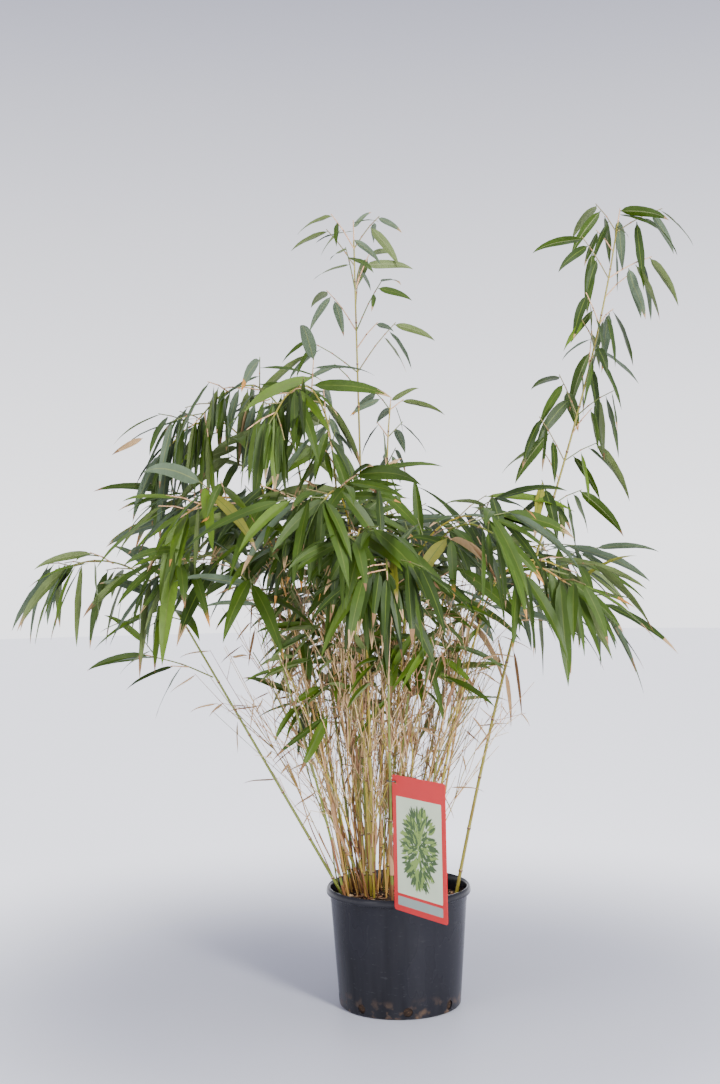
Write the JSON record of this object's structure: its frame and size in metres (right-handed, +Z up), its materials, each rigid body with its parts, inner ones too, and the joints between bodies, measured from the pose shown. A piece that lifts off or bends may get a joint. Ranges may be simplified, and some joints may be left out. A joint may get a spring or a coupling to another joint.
{
  "type": "potted bamboo",
  "caption": "Clump of thin bamboo canes with drooping narrow leaves, growing in a round black nursery pot of soil, with a hanging picture card.",
  "frame": {"origin": "middle of the pot's flat underside", "axes": "+Z up along the axis of the pot, +X to the right and +Y away from someone who stands in front, on the side of the picture card"},
  "size_m": [0.9621, 0.6996, 1.1346],
  "materials": {
    "pot": "satin black moulded plastic, lightly scuffed",
    "soil": "dark brown potting soil with bits of bark",
    "cane": "smooth olive to yellow canes with tan sheaths",
    "leaf": "thin green leaves, paler below, on fine tan twigs",
    "label": "thin printed plastic card with a red border",
    "ring": "dark plastic loop"
  },
  "bodies": {
    "root": {"pot": "pot", "soil": "soil", "cane_right_tall": "cane", "cane_middle_tall": "cane", "cane_middle_short": "cane", "cane_far_left": "cane", "cane_high_left": "cane", "cane_high_centre": "cane", "cane_outer_left": "cane", "cane_low_left": "cane", "cane_right_fan": "cane", "cane_right_low": "cane", "cane_front": "cane", "cane_inner_1": "cane", "cane_inner_2": "cane", "cane_inner_3": "cane", "cane_inner_4": "cane", "cane_middle_1": "cane", "cane_middle_2": "cane", "cane_middle_3": "cane", "cane_middle_4": "cane", "cane_middle_5": "cane", "cane_outer_1": "cane", "cane_outer_2": "cane", "cane_outer_3": "cane", "cane_outer_4": "cane", "cane_outer_5": "cane", "cane_outer_6": "cane", "label_card": "label", "label_ring": "ring", "leaves_right_tall": "leaf", "leaves_middle_tall": "leaf", "leaves_middle_short": "leaf", "leaves_far_left": "leaf", "leaves_high_left": "leaf", "leaves_high_centre": "leaf", "leaves_outer_left": "leaf", "leaves_low_left": "leaf", "leaves_right_fan": "leaf", "leaves_right_low": "leaf", "leaves_front": "leaf", "leaves_inner_1": "leaf", "leaves_inner_2": "leaf", "leaves_inner_3": "leaf", "leaves_inner_4": "leaf", "leaves_middle_1": "leaf", "leaves_middle_2": "leaf", "leaves_middle_3": "leaf", "leaves_middle_4": "leaf", "leaves_middle_5": "leaf", "leaves_outer_1": "leaf", "leaves_outer_2": "leaf", "leaves_outer_3": "leaf", "leaves_outer_4": "leaf", "leaves_outer_5": "leaf", "leaves_outer_6": "leaf", "leaves_far_left_low": "leaf", "leaves_right_tall_low": "leaf", "leaves_left_small": "leaf"}
  },
  "joints": []
}
